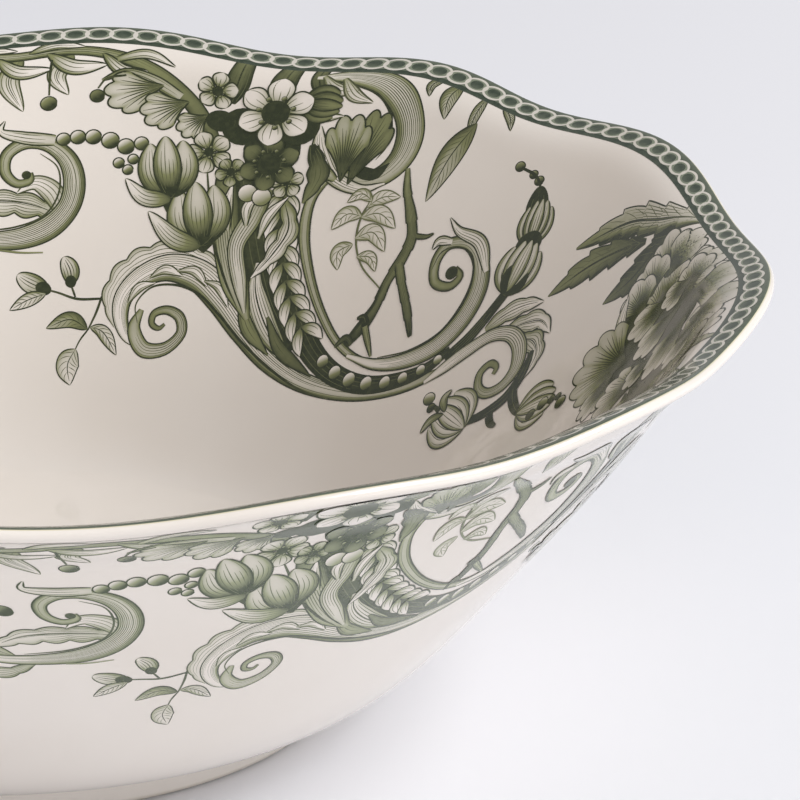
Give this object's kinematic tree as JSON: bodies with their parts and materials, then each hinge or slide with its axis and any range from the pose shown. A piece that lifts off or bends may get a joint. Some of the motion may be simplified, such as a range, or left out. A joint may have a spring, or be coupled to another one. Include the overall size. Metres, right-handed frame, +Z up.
{
  "type": "porcelain serving bowl",
  "caption": "Round porcelain serving bowl with a flared, softly lobed rim on a low foot ring, decorated with a ring-chain border and engraved-style scroll and flower transfers inside and out.",
  "frame": {"origin": "centre of the foot ring's resting plane", "axes": "+Z up along the bowl's axis of symmetry; the rim's wave repeats every quarter turn, so +X and +Y are alike"},
  "size_m": [0.241, 0.241, 0.0735],
  "materials": {
    "glazed_porcelain": "high gloss clear glaze over warm white porcelain",
    "unglazed_foot": "smooth unglazed biscuit, wiped and sponged",
    "border_ink": "deep green print under the glaze",
    "inner_ink": "olive green engraved print under the glaze",
    "outer_ink": "grey green engraved print under the glaze"
  },
  "bodies": {
    "root": {"bowl_body": "glazed_porcelain", "foot_ring": "unglazed_foot", "rim_border": "border_ink", "inner_scroll_1": "inner_ink", "inner_scroll_2": "inner_ink", "inner_scroll_3": "inner_ink", "outer_scroll_1": "outer_ink", "outer_scroll_2": "outer_ink", "outer_scroll_3": "outer_ink"}
  },
  "joints": []
}
